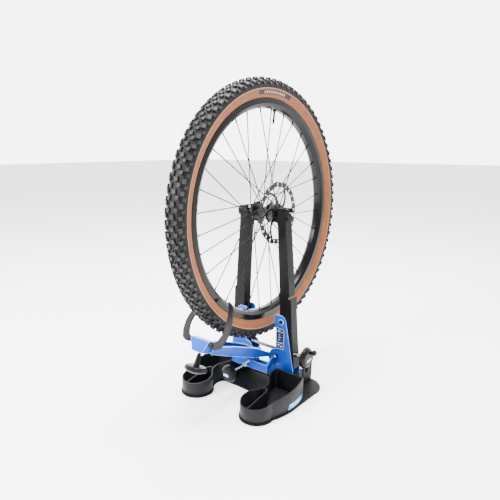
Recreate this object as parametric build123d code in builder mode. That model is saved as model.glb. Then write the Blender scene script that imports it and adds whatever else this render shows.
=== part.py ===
"""Wheel truing stand on a tilting tray base, with a 29 inch mountain bike front wheel mounted in it.

Millimetres. +Z is up, the front of the stand faces -Y and the disc rotor is on +X. The origin is
on the bench, under the middle of the wheel.
"""

import os
from math import cos, radians, sin

from build123d import *

# ---------------------------------------------------------------- fits
RUN_FIT = 0.05  # radial, shaft in bore
HINGE_GAP = 0.3  # between faces of different bodies
SLOT_FIT = 0.1  # pin in slot, each side
SCREW_FIT = 0.25  # radial, fixed bolt in a punched hole

# ---------------------------------------------------------------- wheel
HUB_Z = 530.0
TYRE_R = 374.0
TYRE_W = 60.0
TYRE_WALL = 3.0
TREAD_T = 7.0
RIM_R = 317.0
RIM_W = 36.0
RIM_DEPTH = 26.0
RIM_WALL = 2.5
RIM_BED = 11.0
HUB_W = 110.0
BARREL_R = 14.0
HUB_END_R = 11.0
FLANGE_R = 29.0
FLANGE_T = 3.0
FLANGE_RIGHT_X = 20.0
FLANGE_LEFT_X = -31.0
SPOKES_PER_SIDE = 16
SPOKE_R = 0.9
SPOKE_CIRCLE_R = 25.5
SPOKE_SWEEP = 68.0
SPOKE_LACE = 3.5
NECK_R = 18.0
NECK_W = 5.0
NIPPLE_R = 2.0
NIPPLE_L = 13.0
AXLE_R = 6.0
AXLE_X = 100.0
BEARING_W = 8.0
BEARING_R = 9.0
ROTOR_R = 90.0
ROTOR_T = 1.8
ROTOR_X = 44.1
ROTOR_BAND = 15.0
ROTOR_HUB_R = 28.0
ROTOR_BORE_R = 17.5
ROTOR_BOLT_R = 2.5
ROTOR_BOLT_CIRCLE = 22.0
ROTOR_BOLTS = 6
VALVE_R = 3.0
VALVE_L = 38.0
VALVE_ANGLE = 8.0

# ---------------------------------------------------------------- uprights
PIVOT_X = 75.0
PIVOT_Z = 210.5
PIVOT_BOLT_R = 5.0
SLEEVE_R = 9.0
UPRIGHT_TOP = 546.0
UPRIGHT_FOOT = 100.0
COVER_FOOT = 72.0
UPRIGHT_WALL = 3.0
COVER_TOP = 288.0
COVER_W = 9.0
BOSS_R = 17.0
BOSS_T = 10.0

# ---------------------------------------------------------------- blue plates
PLATE_T = 4.0
PLATE_FACE = 20.0
PLATE_FOOT = 28.0
FOOT_X = 117.0
WING_TOP = 231.0
WING_IN = 57.0
WING_TOP_IN = 51.0
THROAT_X = 33.0
LUG_X = 58.0
LUG_Z = 97.0
LUG_R = 24.0
VALLEY_Z = 45.0
NOSE_X = 66.0
NOSE_ROOT_X = 45.0
NOSE_Y = 77.0
NOSE_FOOT = 65.6
NOSE_TOP = 89.5
LABEL_T = 0.6
RING_R, RING_T = 9.5, 1.5
SPACER_R = 5.8
SPACER_BOLT_R = 3.0

# ---------------------------------------------------------------- lead screw
SCREW_Z = 112.0
SCREW_R = 5.0
SCREW_HOLE_R = 8.0
SCREW_END = 128.0
SUPPORT_X = 50.0
SUPPORT_W = 8.0
NUT_X = 90.0
NUT_W = 16.0
NUT_R = 11.0
NUT_PIN_R = 4.0
NUT_PIN_RISE = 1.5
KNOB_X = 144.0
KNOB_R = 31.5
KNOB_W = 18.0
GRIP_R = 8.5
GRIP_L = 12.5
GRIP_Y, GRIP_Z = 18.0, 13.0
CRANK_PIN_R = 3.0

# ---------------------------------------------------------------- arm and callipers
ARM_Y, ARM_Z = 8.0, 78.0
ARM_PIN_R = 5.0
ARM_END_R = 14.0
ARM_X = 30.0
ARM_WALL = 3.5
EAR_T = 4.0
FACE_Y, FACE_Z = -283.0, 229.0
FACE_TILT = 22.0
FACE_H = 34.5
FACE_TOP_X = 34.0
FACE_FOOT_X = 18.0
BRACKET_DEPTH = 26.0
BRACKET_WALL = 3.0
TANG_T = 4.0
TANG_H = 8.0
TANG_DROP = 10.0
TANG_L = 70.0
COLLAR_X = 36.0
COLLAR_W = 8.0
PINION_R = 5.4
CALLIPER_T = 5.0
CALLIPER_TILT = 36.0
CALLIPER_BACK = 7.0
C_KNOB_R = 30.5
C_KNOB_W = 15.0
C_KNOB_DROP = 86.0
C_SHAFT_R = 3.5
C_NECK_FOOT_R = 9.0
C_NECK_TOP_R = 5.0
C_NECK_TOP = 48.0

# ---------------------------------------------------------------- height screw
HEIGHT_Z = 82.0
H_KNOB_Y = -182.0
H_KNOB_R = 25.0
H_KNOB_W = 24.0
H_SHAFT_R = 2.5
COLLAR_R = 7.0
COLLAR_Y = -97.0
COLLAR_L = 19.7
BUSH_R = 10.0

# ---------------------------------------------------------------- base, cradle and trays
BASE_T = 5.0
CRADLE_TOP = 28.0
CRADLE_T = 4.0
CRADLE_X = 110.0
CRADLE_FRONT = -22.0
CRADLE_REAR_X = 88.0
TILT_Y, TILT_Z = 68.0, 78.0
TILT_BOLT_R = 5.0
TILT_EAR_X = 118.0
POST_X = 122.3
POST_T = 4.0
POST_TOP = 104.0
NOTCH_Y, NOTCH_Z, NOTCH_L, NOTCH_W = 48.0, 56.0, 36.0, 15.0
REST_R = 9.0
TRAY_WALL = 3.0
TRAY_FLOOR = 3.0
LOBE_X, LOBE_Y, LOBE_R = 112.0, -185.0, 46.0
LOBE_FROM, LOBE_SWEEP = 130.0, 240.0
TRAY_FRONT_Y = -231.0
TRAY_BACK_IN, TRAY_BACK_OUT = 70.0, 167.0
TRAY_BULGE = (174.5, -108.0)
WAIST = (95.5, -112.0)
DIVIDER_X, DIVIDER_Y = 115.0, -131.0
BASE_LIP = 3.0
BADGE_OUTLINE = [(-122, 8.5), (-48, 8.5), (-43, 24), (-117, 24)]
BASE_FRONT, BASE_BACK = -96.0, 78.0
TRAY_BACK_Y = -36.0
TRAY_FRONT_TOP = 43.0
TRAY_BACK_TOP = 69.0
TAB_Z = 59.0
TAB_X, TAB_Y = 134.0, -20.0
TAB_HOLE_R, TAB_HOLE_DEPTH = 5.5, 6.0
BENCH_X = 163.0
BENCH_BACK_Y = 1.0
FRONT_HOLE_X, FRONT_HOLE_Y = 37.0, -88.0
BENCH_HOLE_R = 3.0

PLATE_GAP_Y = PLATE_FACE - PLATE_T  # inner faces of the blue plates
UPRIGHT_IN = HUB_W / 2 + HINGE_GAP
Y_HALF = PLATE_GAP_Y - HINGE_GAP  # the uprights just fill the space between the plates
UPRIGHT_DEPTH = 2 * Y_HALF


def mirrored(part):
    """The same part on the other side of the stand."""
    return mirror(part, about=Plane.YZ)


def both_sides(part):
    """A part and its mirror image as one group of solids."""
    return Compound(children=[*part.solids(), *mirrored(part).solids()])


def plate_across_x(points, x_from, thickness):
    """A flat plate standing across X, its outline given as (y, z)."""
    with BuildPart() as plate:
        with BuildSketch(Plane.YZ.offset(x_from)):
            with BuildLine():
                Polyline(*points, close=True)
            make_face()
        extrude(amount=thickness)
    return plate.part


def plate_across_y(points, y_front, depth):
    """A flat plate standing across Y, its outline given as (x, z), growing backwards."""
    with BuildPart() as plate:
        with BuildSketch(Plane.XZ.offset(-y_front)):
            with BuildLine():
                Polyline(*points, close=True)
            make_face()
        extrude(amount=-depth)
    return plate.part


def rod_x(radius, x_from, x_to, y=0.0, z=0.0):
    """A round bar along X."""
    with BuildPart() as rod:
        with BuildSketch(Plane.YZ.offset(x_from)):
            with Locations((y, z)):
                Circle(radius)
        extrude(amount=x_to - x_from)
    return rod.part


def rod_y(radius, y_from, y_to, x=0.0, z=0.0):
    """A round bar along Y."""
    with BuildPart() as rod:
        with BuildSketch(Plane.XZ.offset(-y_from)):
            with Locations((x, z)):
                Circle(radius)
        extrude(amount=y_from - y_to)
    return rod.part


def turned(profile, plane, centre=(0, 0, 0)):
    """A turned part: profile points are (radius, height along the plane's normal)."""
    axis_plane = Plane(origin=centre, x_dir=plane.x_dir, z_dir=plane.z_dir)
    section = Plane(origin=centre, x_dir=axis_plane.x_dir, z_dir=-axis_plane.y_dir)
    with BuildPart() as part:
        with BuildSketch(section):
            with BuildLine():
                Polyline(*profile, close=True)
            make_face()
        revolve(axis=Axis(axis_plane.origin, axis_plane.z_dir))
    return part.part


# ================================================================ base
def tray_outline(grow):
    """Plan of a tray, grown outwards: a round front lobe, a waist inside, a bowed outer wall."""
    back_y = TRAY_BACK_Y + grow
    with BuildSketch() as plan:
        with BuildLine():
            lobe = CenterArc((LOBE_X, LOBE_Y), LOBE_R + grow, LOBE_FROM, LOBE_SWEEP)
            inner = Spline(
                (TRAY_BACK_IN - grow, TRAY_BACK_Y - 12),
                (WAIST[0] - grow, WAIST[1]),
                lobe @ 0,
                tangents=((0, -1), lobe % 0),
            )
            Polyline(inner @ 0, (TRAY_BACK_IN - grow, back_y), (TRAY_BACK_OUT + grow, back_y))
            bulge = (TRAY_BULGE[0] + grow, TRAY_BULGE[1])
            ThreePointArc((TRAY_BACK_OUT + grow, back_y), bulge, lobe @ 1)
        make_face()
        fillet(plan.vertices().sort_by_distance((TRAY_BACK_IN - grow, back_y))[0], 10 + grow)
    return plan.face()


tray_plan = tray_outline(0)

with BuildPart() as base_plate:
    with BuildSketch() as base_plan:
        with Locations((0, (BASE_FRONT + BASE_BACK) / 2)):
            Rectangle(2 * 130, BASE_BACK - BASE_FRONT)
        with Locations((126, 22), (-126, 22)):
            Circle(56)
        lip = tray_outline(BASE_LIP)
        add(lip)
        add(mirror(lip, about=Plane.YZ))
        for side in (1, -1):
            with BuildLine():
                Polyline(
                    (side * 120, 0),
                    (side * 120, BASE_FRONT),
                    (side * (TRAY_BULGE[0] + BASE_LIP), BASE_FRONT),
                    (side * 181, 15),
                    close=True,
                )
            make_face()
    extrude(amount=BASE_T)
    throats = [
        edge
        for edge in base_plate.edges().filter_by(Axis.Z)
        if abs(edge.center().Y - BASE_FRONT) < 1 and abs(edge.center().X) < LOBE_X
    ]
    fillet(throats, 14)
    with BuildSketch(Plane.XY.offset(BASE_T)):
        with Locations(
            (BENCH_X, BENCH_BACK_Y),
            (-BENCH_X, BENCH_BACK_Y),
            (FRONT_HOLE_X, FRONT_HOLE_Y),
            (-FRONT_HOLE_X, FRONT_HOLE_Y),
        ):
            Circle(BENCH_HOLE_R)
    extrude(amount=-BASE_T, mode=Mode.SUBTRACT)

with BuildPart() as tray_right:
    with BuildSketch(Plane.XY.offset(BASE_T)):
        add(tray_plan)
    extrude(amount=TRAY_BACK_TOP + 20)
    with BuildSketch(Plane.XY.offset(BASE_T + TRAY_FLOOR)):
        add(tray_outline(-TRAY_WALL))
    extrude(amount=TRAY_BACK_TOP + 20, mode=Mode.SUBTRACT)
    # a wall with one round corner closes the inner front of the lobe into a cup
    with BuildSketch(Plane.XY.offset(BASE_T)):
        with BuildSketch(mode=Mode.PRIVATE) as cup:
            with Locations((DIVIDER_X, DIVIDER_Y)):
                Rectangle(100, 120, align=(Align.MAX, Align.MAX))
            fillet(cup.vertices().sort_by_distance((DIVIDER_X, DIVIDER_Y))[0], 11)
        add(cup.face())
        offset(cup.face(), amount=-TRAY_WALL, mode=Mode.SUBTRACT)
        add(tray_plan, mode=Mode.INTERSECT)
    extrude(amount=TRAY_BACK_TOP)
    # the rim climbs towards the back
    with BuildSketch(Plane.YZ) as above_rim:
        with BuildLine():
            rim_line = Line((TRAY_FRONT_Y, TRAY_FRONT_TOP), (TRAY_BACK_Y, TRAY_BACK_TOP))
            front, back = rim_line @ -0.1, rim_line @ 1.02
            Polyline(front, back, (back.X, 2 * TRAY_BACK_TOP), (front.X, 2 * TRAY_BACK_TOP), front)
        make_face()
    extrude(amount=2 * LOBE_X, mode=Mode.SUBTRACT)
    # screw tab behind the back wall
    with BuildSketch(Plane.XY.offset(BASE_T)) as tab:
        with BuildLine():
            Polyline(
                (FOOT_X + 3, TRAY_BACK_Y),
                (TAB_X + 26, TRAY_BACK_Y),
                (TAB_X + 12, TAB_Y + 12),
                (FOOT_X + 3, TAB_Y + 12),
                close=True,
            )
        make_face()
        fillet(tab.vertices().group_by(Axis.Y)[-1], 8)
    extrude(amount=TAB_Z - BASE_T)
    with BuildSketch(Plane.XY.offset(TAB_Z)):
        with Locations((TAB_X, TAB_Y)):
            Circle(TAB_HOLE_R)
    extrude(amount=-TAB_HOLE_DEPTH, mode=Mode.SUBTRACT)

with BuildPart() as tray_left:
    add(mirrored(tray_right.part))

with BuildPart() as tray_screw:
    with BuildSketch(Plane.XY.offset(TAB_Z - TAB_HOLE_DEPTH)):
        with Locations((TAB_X, TAB_Y)):
            Circle(TAB_HOLE_R - 1)
    extrude(amount=2.5)

with BuildPart() as tray_badge:
    with BuildSketch(Plane.XY):
        add(tray_outline(LABEL_T))
        add(tray_plan, mode=Mode.SUBTRACT)
    extrude(amount=TRAY_FRONT_TOP)
    with BuildSketch(Plane.YZ):
        with BuildLine():
            Polyline(*BADGE_OUTLINE, close=True)
        make_face()
    extrude(amount=2 * LOBE_X, mode=Mode.INTERSECT)
badge_skin = max(tray_badge.part.solids(), key=lambda solid: solid.bounding_box().max.X)

with BuildPart() as post:
    add(
        plate_across_x(
            [
                (30, BASE_T),
                (77, BASE_T),
                (81, 60),
                (81, 90),
                (72, POST_TOP),
                (42, POST_TOP),
                (30, 64),
            ],
            POST_X,
            POST_T,
        )
    )
    with BuildSketch(Plane.YZ.offset(POST_X)):
        with Locations((NOTCH_Y, NOTCH_Z)):
            SlotOverall(NOTCH_L, NOTCH_W, rotation=90)
        with Locations((TILT_Y, TILT_Z)):
            Circle(TILT_BOLT_R + RUN_FIT)
    extrude(amount=POST_T, mode=Mode.SUBTRACT)
    # foot flange on the base plate
    with BuildSketch(Plane.XY.offset(BASE_T)):
        with Locations((POST_X, 54)):
            Rectangle(18, 44, align=(Align.MAX, Align.CENTER))
    extrude(amount=3)

with BuildPart() as tilt_bolt:
    add(rod_x(TILT_BOLT_R, TILT_EAR_X - 2, POST_X + POST_T + 6, TILT_Y, TILT_Z))
    add(rod_x(9, POST_X + POST_T, POST_X + POST_T + 6, TILT_Y, TILT_Z))

with BuildPart() as cradle_rest:
    with BuildSketch(Plane.XY.offset(BASE_T)):
        with Locations((90, -10), (90, 48)):
            Circle(REST_R)
    extrude(amount=CRADLE_TOP - CRADLE_T - HINGE_GAP - BASE_T)

# ================================================================ cradle and blue plates
with BuildPart() as tilt_cradle:
    with BuildSketch(Plane.XY.offset(CRADLE_TOP - CRADLE_T)):
        with BuildLine():
            Polyline(
                (-CRADLE_X, CRADLE_FRONT),
                (CRADLE_X, CRADLE_FRONT),
                (CRADLE_X, 0),
                (TILT_EAR_X, 0),
                (TILT_EAR_X, TILT_Y + 9),
                (CRADLE_REAR_X, TILT_Y + 9),
                (CRADLE_REAR_X, 34),
                (-CRADLE_REAR_X, 34),
                (-CRADLE_REAR_X, TILT_Y + 9),
                (-TILT_EAR_X, TILT_Y + 9),
                (-TILT_EAR_X, 0),
                (-CRADLE_X, 0),
                close=True,
            )
        make_face()
    extrude(amount=CRADLE_T)
    ear = plate_across_x(
        [
            (TILT_Y - 9, CRADLE_TOP - CRADLE_T),
            (TILT_Y + 9, CRADLE_TOP - CRADLE_T),
            (TILT_Y + 9, TILT_Z + 9),
            (TILT_Y - 9, TILT_Z + 9),
        ],
        TILT_EAR_X - 4,
        4,
    )
    add(ear)
    add(mirrored(ear))
    bore = rod_x(TILT_BOLT_R + RUN_FIT, TILT_EAR_X - 6, TILT_EAR_X + 2, TILT_Y, TILT_Z)
    add(bore, mode=Mode.SUBTRACT)
    add(mirrored(bore), mode=Mode.SUBTRACT)

WING = [
    (THROAT_X, PLATE_FOOT),
    (FOOT_X, PLATE_FOOT),
    (FOOT_X + 3, 66),
    (93, 212),
    (87, 226),
    (78, WING_TOP),
    (58, WING_TOP),
    (WING_TOP_IN, 224),
    (WING_TOP_IN, 203),
    (WING_IN, 195),
    (WING_IN, LUG_Z),
    (THROAT_X, LUG_Z),
]


def wing_plate(y_front):
    """The right wing of a blue plate with the holes it needs, 4 mm thick from y_front backwards."""
    with BuildPart() as wing:
        with BuildSketch(Plane.XZ.offset(-y_front)) as face:
            with BuildLine():
                Polyline(*WING, close=True)
            make_face()
            with Locations((LUG_X, LUG_Z)):
                Circle(LUG_R)
            with Locations((PIVOT_X, PIVOT_Z)):
                Circle(PIVOT_BOLT_R + SCREW_FIT, mode=Mode.SUBTRACT)
            with Locations((LUG_X, LUG_Z)):
                Circle(SPACER_BOLT_R + SCREW_FIT, mode=Mode.SUBTRACT)
        extrude(amount=-PLATE_T)
    return wing.part


with BuildPart() as front_plate:
    front_wing = wing_plate(-PLATE_FACE)
    pivot_ring = rod_y(RING_R, -PLATE_FACE - RING_T, -PLATE_FACE, PIVOT_X, PIVOT_Z)
    ring_bore = rod_y(RING_R - 3, -PLATE_FACE - RING_T, -PLATE_FACE, PIVOT_X, PIVOT_Z)
    for shape in (front_wing, pivot_ring - ring_bore):
        add(shape)
        add(mirrored(shape))
    # the middle is bent forward into a nose that carries the height screw
    with BuildSketch(Plane.XY.offset(NOSE_FOOT)):
        with BuildLine():
            Polyline(
                (-NOSE_ROOT_X, -PLATE_FACE),
                (-NOSE_X, -NOSE_Y),
                (NOSE_X, -NOSE_Y),
                (NOSE_ROOT_X, -PLATE_FACE),
                (NOSE_ROOT_X - PLATE_T, -PLATE_FACE),
                (NOSE_X - PLATE_T - 1.5, -NOSE_Y + PLATE_T),
                (-NOSE_X + PLATE_T + 1.5, -NOSE_Y + PLATE_T),
                (-NOSE_ROOT_X + PLATE_T, -PLATE_FACE),
                close=True,
            )
        make_face()
    extrude(amount=NOSE_TOP - NOSE_FOOT)
    with BuildSketch(Plane.XZ.offset(NOSE_Y)):
        with Locations((0, HEIGHT_Z)):
            Circle(BUSH_R - 3)
    extrude(amount=-PLATE_T, mode=Mode.SUBTRACT)

with BuildPart() as rear_plate:
    rear_wing = wing_plate(PLATE_GAP_Y)
    add(rear_wing)
    add(mirrored(rear_wing))
    add(
        plate_across_y(
            [
                (-THROAT_X, PLATE_FOOT),
                (THROAT_X, PLATE_FOOT),
                (THROAT_X, VALLEY_Z),
                (-THROAT_X, VALLEY_Z),
            ],
            PLATE_GAP_Y,
            PLATE_T,
        )
    )

with BuildPart() as spacer:
    add(rod_y(SPACER_R, -PLATE_GAP_Y, PLATE_GAP_Y, LUG_X, LUG_Z))
    add(
        rod_y(SPACER_BOLT_R + SCREW_FIT, -PLATE_FACE, PLATE_FACE, LUG_X, LUG_Z),
        mode=Mode.SUBTRACT,
    )

with BuildPart() as spacer_bolt:
    add(rod_y(SPACER_BOLT_R, -PLATE_FACE, PLATE_FACE, LUG_X, LUG_Z))
    add(rod_y(8.5, -PLATE_FACE - 1.5, -PLATE_FACE, LUG_X, LUG_Z))
    add(rod_y(6.0, -PLATE_FACE - 6.5, -PLATE_FACE - 1.5, LUG_X, LUG_Z))
    add(rod_y(6.5, PLATE_FACE, PLATE_FACE + 5, LUG_X, LUG_Z))
    with BuildSketch(Plane.XZ.offset(PLATE_FACE + 6.5)):
        with Locations((LUG_X, LUG_Z)):
            RegularPolygon(3.0, 6)
    extrude(amount=-4, mode=Mode.SUBTRACT)

with BuildPart() as pivot_bolt:
    add(rod_y(PIVOT_BOLT_R, -PLATE_FACE, PLATE_FACE, PIVOT_X, PIVOT_Z))
    add(rod_y(RING_R - 3.5, -PLATE_FACE - 2.5, -PLATE_FACE, PIVOT_X, PIVOT_Z))
    with BuildSketch(Plane.XZ.offset(PLATE_FACE + 2.5)):
        with Locations((PIVOT_X, PIVOT_Z)):
            RegularPolygon(3.5, 6)
    extrude(amount=-4, mode=Mode.SUBTRACT)
    add(rod_y(8.0, PLATE_FACE, PLATE_FACE + 5, PIVOT_X, PIVOT_Z))

with BuildPart() as label:
    with BuildSketch(Plane.XZ.offset(PLATE_FACE)) as label_face:
        with BuildLine():
            Polyline((58.5, 124), (88, 124), (88, 189), (60, 193), (58.5, 192), close=True)
        make_face()
        fillet(label_face.vertices().group_by(Axis.X)[-1], 5)
    extrude(amount=LABEL_T)

with BuildPart() as screw_support:
    with BuildSketch(Plane.YZ.offset(SUPPORT_X)) as block:
        with Locations((0, SCREW_Z - 3)):
            Rectangle(2 * PLATE_GAP_Y, 16)
        with Locations((0, SCREW_Z)):
            Circle(9)
        with Locations((0, SCREW_Z)):
            Circle(SCREW_R + RUN_FIT, mode=Mode.SUBTRACT)
    extrude(amount=SUPPORT_W)
    with BuildSketch(Plane.XZ.offset(PLATE_GAP_Y)):
        with Locations((LUG_X, LUG_Z)):
            Circle(SPACER_R + HINGE_GAP)
    extrude(amount=-2 * PLATE_GAP_Y, mode=Mode.SUBTRACT)

EAR_X = ARM_X + HINGE_GAP
with BuildPart() as arm_ear:
    with BuildSketch(Plane.YZ.offset(EAR_X)) as ear_face:
        with BuildLine():
            Polyline(
                (ARM_Y - 14, CRADLE_TOP),
                (PLATE_GAP_Y, CRADLE_TOP),
                (PLATE_GAP_Y, ARM_Z),
                (ARM_Y + 2, ARM_Z + 12),
                (ARM_Y - 10, ARM_Z + 6),
                close=True,
            )
        make_face()
        with Locations((ARM_Y, ARM_Z)):
            Circle(ARM_PIN_R + RUN_FIT, mode=Mode.SUBTRACT)
    extrude(amount=EAR_T)

with BuildPart() as arm_pin:
    add(rod_x(ARM_PIN_R, -EAR_X - EAR_T, EAR_X + EAR_T, ARM_Y, ARM_Z))

with BuildPart() as axle_rod:
    add(rod_x(AXLE_R, -AXLE_X, AXLE_X, 0, HUB_Z))

with BuildPart() as height_bush:
    add(rod_y(BUSH_R - 3, -NOSE_Y, -NOSE_Y + PLATE_T, 0, HEIGHT_Z))
    add(rod_y(BUSH_R, -NOSE_Y + PLATE_T, -NOSE_Y + PLATE_T + 12, 0, HEIGHT_Z))
    add(rod_y(H_SHAFT_R + RUN_FIT, -NOSE_Y, -NOSE_Y + 30, 0, HEIGHT_Z), mode=Mode.SUBTRACT)


# ================================================================ uprights
UPRIGHT = [
    (UPRIGHT_IN, UPRIGHT_TOP),
    (UPRIGHT_IN, 500),
    (64, 340),
    (66, COVER_TOP),
    (68, 240),
    (70, UPRIGHT_FOOT),
    (109, UPRIGHT_FOOT),
    (102, 181),
    (99, COVER_TOP),
    (97, 330),
    (83, 500),
    (79, UPRIGHT_TOP),
]
CHANNEL = [
    (UPRIGHT_IN + UPRIGHT_WALL, UPRIGHT_TOP - UPRIGHT_WALL),
    (UPRIGHT_IN + UPRIGHT_WALL, 500),
    (67, 340),
    (69, COVER_TOP),
    (71, 240),
    (73, UPRIGHT_FOOT),
    (106, UPRIGHT_FOOT),
    (99, 181),
    (96, COVER_TOP),
    (94, 330),
    (80, 500),
    (76, UPRIGHT_TOP - UPRIGHT_WALL),
]

# notch where the cover meets the upright
latch_gap = plate_across_y([(95, 284), (104, 284), (104, 291), (95, 291)], -Y_HALF, UPRIGHT_DEPTH)

with BuildPart() as upright_right:
    add(plate_across_y(UPRIGHT, -Y_HALF, UPRIGHT_DEPTH))
    add(latch_gap, mode=Mode.SUBTRACT)
    add(
        plate_across_y(CHANNEL, -Y_HALF + UPRIGHT_WALL, UPRIGHT_DEPTH - UPRIGHT_WALL),
        mode=Mode.SUBTRACT,
    )
    add(rod_y(SLEEVE_R, -Y_HALF, Y_HALF, PIVOT_X + 1, PIVOT_Z))
    add(rod_y(PIVOT_BOLT_R + RUN_FIT, -Y_HALF, Y_HALF, PIVOT_X, PIVOT_Z), mode=Mode.SUBTRACT)
    add(rod_x(SCREW_HOLE_R, 60, 125, 0, SCREW_Z), mode=Mode.SUBTRACT)
    # drop-out slot: tight at the boss, relieved behind it so that the upright can lean out
    with BuildSketch(Plane.YZ.offset(50)):
        with Locations((0, HUB_Z - 1.5)):
            Circle(AXLE_R + 1.5)
        with Locations((0, HUB_Z + 15)):
            Rectangle(2 * (AXLE_R + 1.5), 33)
    extrude(amount=40, mode=Mode.SUBTRACT)
    # slot for the pin of the screw nut
    with BuildSketch(Plane.XZ.offset(Y_HALF)):
        with Locations((NUT_X, SCREW_Z + NUT_PIN_RISE / 2)):
            SlotOverall(
                2 * (NUT_PIN_R + SLOT_FIT) + NUT_PIN_RISE, 2 * (NUT_PIN_R + SLOT_FIT), rotation=90
            )
    extrude(amount=-UPRIGHT_WALL, mode=Mode.SUBTRACT)

with BuildPart() as cover_right:
    add(
        plate_across_y(
            [
                (99, COVER_TOP),
                (96 + COVER_W, COVER_TOP),
                (111, 181),
                (118, UPRIGHT_FOOT),
                (121, COVER_FOOT),
                (80, COVER_FOOT),
                (78, 96),
                (82, UPRIGHT_FOOT),
                (109, UPRIGHT_FOOT),
                (102, 181),
            ],
            -Y_HALF,
            UPRIGHT_DEPTH,
        )
    )
    add(rod_x(SCREW_HOLE_R, 60, 125, 0, SCREW_Z), mode=Mode.SUBTRACT)
    add(latch_gap, mode=Mode.SUBTRACT)

with BuildPart() as boss_right:
    add(rod_x(BOSS_R, 79, 79 + BOSS_T, 0, HUB_Z - 1))
    add(plate_across_y(UPRIGHT, -Y_HALF, UPRIGHT_DEPTH), mode=Mode.SUBTRACT)
    with BuildSketch(Plane.YZ.offset(70)):
        with Locations((0, HUB_Z)):
            Circle(AXLE_R + RUN_FIT)
        with Locations((0, HUB_Z + 15)):
            Rectangle(2 * (AXLE_R + RUN_FIT), 30)
    extrude(amount=40, mode=Mode.SUBTRACT)

with BuildPart() as upright_left:
    add(mirrored(upright_right.part))

with BuildPart() as cover_left:
    add(mirrored(cover_right.part))

with BuildPart() as boss_left:
    add(mirrored(boss_right.part))

# ================================================================ lead screw
with BuildPart() as lead_screw:
    add(rod_x(SCREW_R, -SCREW_END, KNOB_X, 0, SCREW_Z))
    add(rod_x(SCREW_R + 3, SCREW_END, KNOB_X, 0, SCREW_Z))

with BuildPart() as screw_stop:
    add(rod_x(SCREW_R + 4, -SCREW_END - 6, -SCREW_END, 0, SCREW_Z))

with BuildPart() as lead_knob:
    add(
        turned(
            [
                (0, 0),
                (KNOB_R - 6, 0),
                (KNOB_R, 4),
                (KNOB_R, 8),
                (KNOB_R - 1.5, 12),
                (KNOB_R - 5, KNOB_W - 2.5),
                (KNOB_R - 10, KNOB_W),
                (0, KNOB_W),
            ],
            Plane.YZ,
            (KNOB_X, 0, SCREW_Z),
        )
    )
    add(rod_x(CRANK_PIN_R, KNOB_X + KNOB_W, KNOB_X + KNOB_W + GRIP_L, GRIP_Y, SCREW_Z + GRIP_Z))

with BuildPart() as crank_grip:
    add(
        turned(
            [
                (CRANK_PIN_R + RUN_FIT, 0),
                (GRIP_R - 2.5, 0),
                (GRIP_R, 5),
                (GRIP_R, GRIP_L - 3.5),
                (GRIP_R - 3, GRIP_L),
                (CRANK_PIN_R + RUN_FIT, GRIP_L),
            ],
            Plane.YZ,
            (KNOB_X + KNOB_W + HINGE_GAP, GRIP_Y, SCREW_Z + GRIP_Z),
        )
    )

with BuildPart() as lead_badge:
    with BuildSketch(Plane.YZ.offset(KNOB_X + KNOB_W)):
        with Locations((0, SCREW_Z - 5)):
            SlotOverall(26, 9, rotation=12)
    extrude(amount=0.8)

with BuildPart() as nut_right:
    add(rod_x(NUT_R, NUT_X - NUT_W / 2, NUT_X + NUT_W / 2, 0, SCREW_Z))
    add(rod_y(NUT_PIN_R, -Y_HALF + 0.2, -8, NUT_X, SCREW_Z))
    add(rod_x(SCREW_R + RUN_FIT, NUT_X - NUT_W, NUT_X + NUT_W, 0, SCREW_Z), mode=Mode.SUBTRACT)

with BuildPart() as nut_left:
    add(mirrored(nut_right.part))

# ================================================================ arm, bracket and callipers
# The bracket's own frame: x across, y up its face, z forward out of its face.
FACE = Plane(
    origin=(0, FACE_Y, FACE_Z),
    x_dir=(1, 0, 0),
    z_dir=(0, -cos(radians(FACE_TILT)), sin(radians(FACE_TILT))),
)


def on_face(up, forward):
    """(y, z) of a point given in the bracket's frame."""
    point = FACE.from_local_coords((0, up, forward))
    return (point.Y, point.Z)


ARM = [
    on_face(-2, -BRACKET_DEPTH),
    (-226, 193),
    (-171, 174),
    (-143, 162),
    (-103, 146),
    (-68, 130),
    (-33, 109),
    (-8, 96),
    (ARM_Y + 6, ARM_Z + ARM_END_R - 1),
    (ARM_Y + ARM_END_R, ARM_Z + 2),
    (ARM_Y + 11, ARM_Z - 9),
    (ARM_Y, ARM_Z - ARM_END_R),
    (ARM_Y - 12, ARM_Z - 8),
    (-19, 88),
    (-52, 98),
    (-88, 109),
    (-191, 152),
    on_face(-FACE_H, -BRACKET_DEPTH),
]

with BuildPart() as calliper_arm:
    cheek = plate_across_x(ARM, ARM_X - ARM_WALL, ARM_WALL)
    add(cheek)
    add(mirrored(cheek))
    # web along the underside joins the two cheeks
    with BuildSketch(Plane.YZ.offset(-ARM_X + ARM_WALL)):
        with BuildLine():
            Polyline(
                on_face(-FACE_H, -BRACKET_DEPTH),
                (-191, 152),
                (-88, 109),
                (-88, 112),
                (-190, 155),
                on_face(-FACE_H + 3, -BRACKET_DEPTH),
                close=True,
            )
        make_face()
    extrude(amount=2 * (ARM_X - ARM_WALL))
    add(rod_x(ARM_PIN_R + RUN_FIT, -40, 40, ARM_Y, ARM_Z), mode=Mode.SUBTRACT)

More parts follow.
